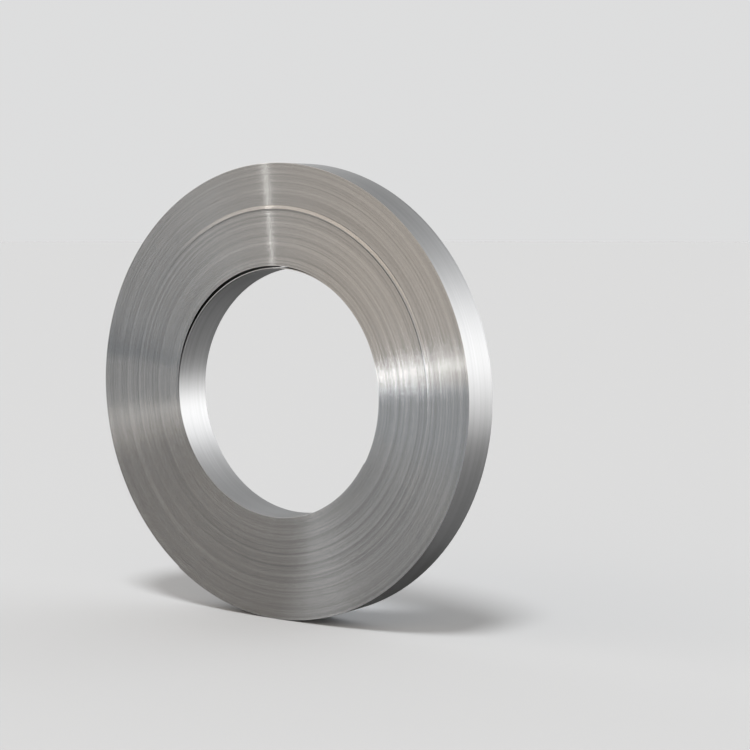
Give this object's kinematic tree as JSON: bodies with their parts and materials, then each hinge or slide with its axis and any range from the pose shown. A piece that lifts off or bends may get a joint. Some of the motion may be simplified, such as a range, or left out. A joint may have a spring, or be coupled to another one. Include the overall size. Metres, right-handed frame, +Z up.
{
  "type": "slit steel coil",
  "caption": "Narrow steel strip wound into a flat ring-shaped coil with an open bore, standing on its rim.",
  "frame": {"origin": "point of the floor under the middle of the coil, which stands on its rim", "axes": "+Z up, +Y along the coil's axis from the near end to the far end, +X to the right seen from the near end"},
  "size_m": [0.925, 0.0864, 0.925],
  "materials": {
    "steel": "bright rolled strip, with fine slit edges on the coil's ends"
  },
  "bodies": {
    "root": {"steel_coil": "steel"}
  },
  "joints": []
}
